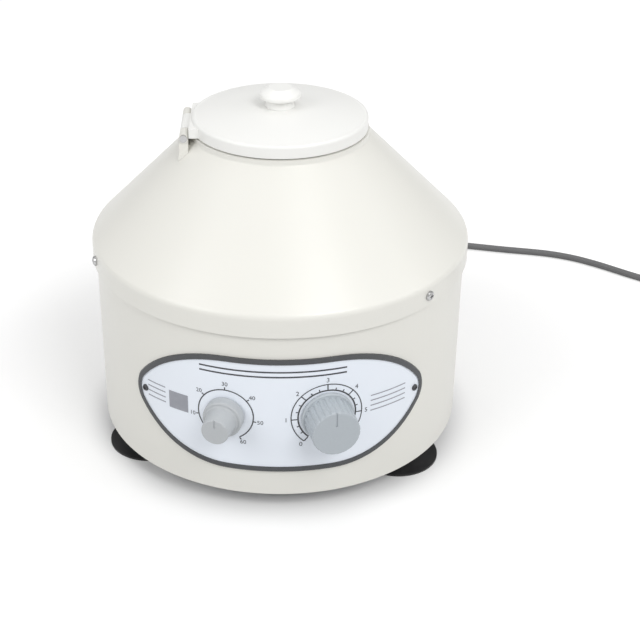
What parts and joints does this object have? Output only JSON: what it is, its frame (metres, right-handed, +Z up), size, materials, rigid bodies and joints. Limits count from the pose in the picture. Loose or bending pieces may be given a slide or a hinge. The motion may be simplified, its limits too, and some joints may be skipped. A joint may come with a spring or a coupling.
{
  "type": "bench centrifuge",
  "caption": "Conical benchtop tube centrifuge with hinged round lid, angled tube rotor, driving motor, curved control panel with timer and speed knobs, rubber feet and power cord",
  "frame": {"origin": "on the table, under the spindle's axis", "axes": "+Z up along the spindle, -Y towards the control panel, +X to the right of it"},
  "size_m": [0.5402, 0.4184, 0.2512],
  "materials": {
    "cream_steel": "gloss powder coat, warm off-white",
    "zinc_steel": "zinc plated",
    "screw_steel": "zinc plated",
    "dark_screws": "blackened",
    "foot_rubber": "smooth black",
    "cream_plastic": "moulded, off-white",
    "white_plastic": "moulded, white",
    "grey_rubber": "moulded",
    "bowl_aluminium": "spun",
    "cast_aluminium": "cast and turned",
    "sleeve_aluminium": "drawn, satin",
    "shaft_steel": "ground",
    "core_steel": "laminated, varnished",
    "motor_case_steel": "grey paint",
    "bell_aluminium": "die cast",
    "copper_winding": "varnished copper winding",
    "holder_plastic": "moulded, black",
    "carbon": "pressed carbon",
    "panel_face": "pale blue film",
    "panel_edge": "dark grey",
    "timer_case": "moulded",
    "timer_grip": "moulded, warm grey",
    "control_case": "moulded, blue",
    "speed_grip": "moulded, blue grey",
    "board_green": "solder mask",
    "board_black": "moulded",
    "relief_rubber": "moulded, black",
    "cord_grey": "grey sheath",
    "pin_brass": "nickel plated"
  },
  "bodies": {
    "base": {"drum_housing": "cream_steel", "base_plate": "zinc_steel", "base_screws": "screw_steel", "front_left_foot": "foot_rubber", "front_right_foot": "foot_rubber", "rear_foot": "foot_rubber", "foot_screws": "screw_steel", "top_cover": "cream_steel", "cover_screws": "screw_steel", "cover_nuts": "zinc_steel", "hinge_bracket": "cream_plastic", "hinge_pin": "zinc_steel", "hinge_screws": "screw_steel", "chamber_bowl": "bowl_aluminium", "shaft_seal": "grey_rubber", "motor_case": "motor_case_steel", "lower_bell": "bell_aluminium", "upper_bell": "bell_aluminium", "stator": "core_steel", "field_coils": "copper_winding", "motor_bearings": "shaft_steel", "brush_holders": "holder_plastic", "carbon_brushes": "carbon", "motor_plate": "zinc_steel", "rubber_mounts": "grey_rubber", "mount_screws": "screw_steel", "motor_screws": "screw_steel", "control_panel": "panel_face", "panel_border": "panel_edge", "panel_screws": "dark_screws", "timer_unit": "timer_case", "speed_control": "control_case", "control_nuts": "zinc_steel", "circuit_board": "board_green", "board_parts": "board_black", "fuse_holder": "holder_plastic", "strain_relief": "relief_rubber", "power_cord": "cord_grey", "cord_coil": "cord_grey", "plug": "relief_rubber", "plug_pins": "pin_brass"},
    "lid": {"lid": "white_plastic", "lid_gasket": "grey_rubber", "lid_knob": "white_plastic", "lid_knob_screw": "screw_steel"},
    "rotor": {"motor_shaft": "shaft_steel", "armature": "core_steel", "rotor_head": "cast_aluminium", "rotor_nut": "screw_steel", "sleeve_cushions": "grey_rubber", "tube_sleeve_1": "sleeve_aluminium", "tube_sleeve_2": "sleeve_aluminium", "tube_sleeve_3": "sleeve_aluminium", "tube_sleeve_4": "sleeve_aluminium", "tube_sleeve_5": "sleeve_aluminium", "tube_sleeve_6": "sleeve_aluminium"},
    "timer": {"timer_knob": "timer_grip", "timer_shaft": "shaft_steel"},
    "speed": {"speed_knob": "speed_grip", "speed_shaft": "shaft_steel"}
  },
  "joints": [
    {"name": "lid_hinge", "type": "hinge", "parent": "base", "child": "lid", "pos_m": [-0.0633, 0, 0.2248], "axis": [0, -1, 0], "range_deg": [0, 100]},
    {"name": "rotor_spin", "type": "hinge", "parent": "base", "child": "rotor", "pos_m": [0, 0, 0.15], "axis": [0, 0, 1], "continuous": true},
    {"name": "timer_turn", "type": "hinge", "parent": "base", "child": "timer", "pos_m": [-0.03721, -0.12977, 0.0748], "axis": [0.2756, 0.9613, 0], "range_deg": [0, 300]},
    {"name": "speed_turn", "type": "hinge", "parent": "base", "child": "speed", "pos_m": [0.03197, -0.13116, 0.0748], "axis": [-0.2368, 0.9715, 0], "range_deg": [0, 280]}
  ]
}
